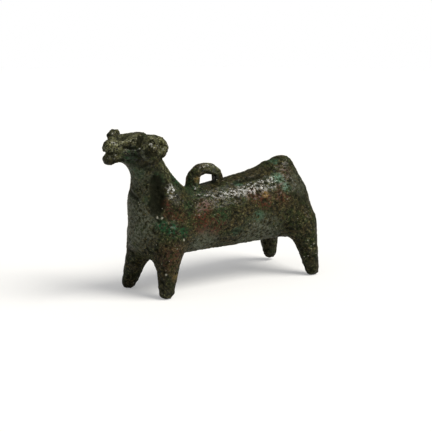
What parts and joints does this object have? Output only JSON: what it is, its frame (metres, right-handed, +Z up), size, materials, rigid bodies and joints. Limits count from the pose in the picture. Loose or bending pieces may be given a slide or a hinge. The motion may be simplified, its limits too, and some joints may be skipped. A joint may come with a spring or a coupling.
{
  "type": "bronze ram figure",
  "caption": "Small cast bronze ram standing on stub legs, with curled horns, an open mouth and a hanging loop on its back.",
  "frame": {"origin": "middle of the figure's box, at the level that its feet stand on", "axes": "the ram faces -X, its left side is -Y, +Z is up"},
  "size_m": [0.092, 0.0342, 0.0612],
  "materials": {
    "bronze_patina": "dark brown-green ancient patina over cast bronze, with green and red patches and a worn sheen"
  },
  "bodies": {
    "root": {"bronze_ram": "bronze_patina"}
  },
  "joints": []
}
